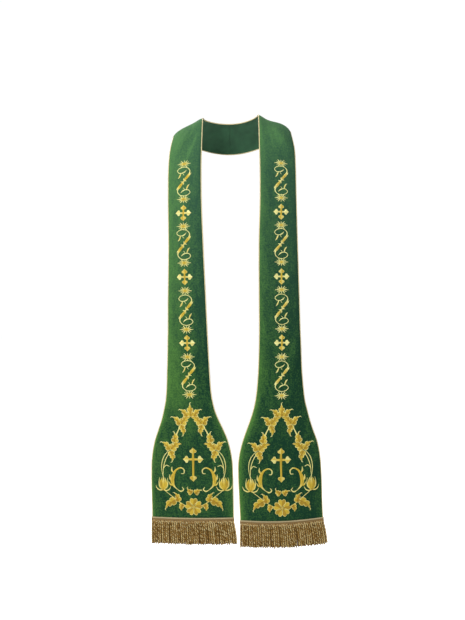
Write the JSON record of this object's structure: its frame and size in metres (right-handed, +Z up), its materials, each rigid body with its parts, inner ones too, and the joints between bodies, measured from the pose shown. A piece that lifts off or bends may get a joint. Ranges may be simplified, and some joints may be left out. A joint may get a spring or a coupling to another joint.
{
  "type": "clerical stole",
  "caption": "Green velvet clerical stole in its worn shape: a band round the neck and two front panels that flare to wide fringed ends, edged in thin gold cord.",
  "frame": {"origin": "middle of the neck opening, level with the places where the stole crosses the shoulders beside the neck", "axes": "+Z up, -Y out of the wearer's chest, +X towards the wearer's left"},
  "size_m": [0.4898, 0.271, 1.2252],
  "materials": {
    "velvet": "green cotton velvet, with a plain green backing",
    "fringe": "twisted dull gold thread on a woven heading",
    "gold_cord": "thin twisted khaki gold cord",
    "embroidery": "satin stitch in gold rayon thread"
  },
  "bodies": {
    "root": {"panel_left": "velvet", "panel_right": "velvet", "fringe_left": "fringe", "fringe_right": "fringe", "edge_cord_inner": "gold_cord", "edge_cord_outer": "gold_cord"}
  },
  "joints": []
}
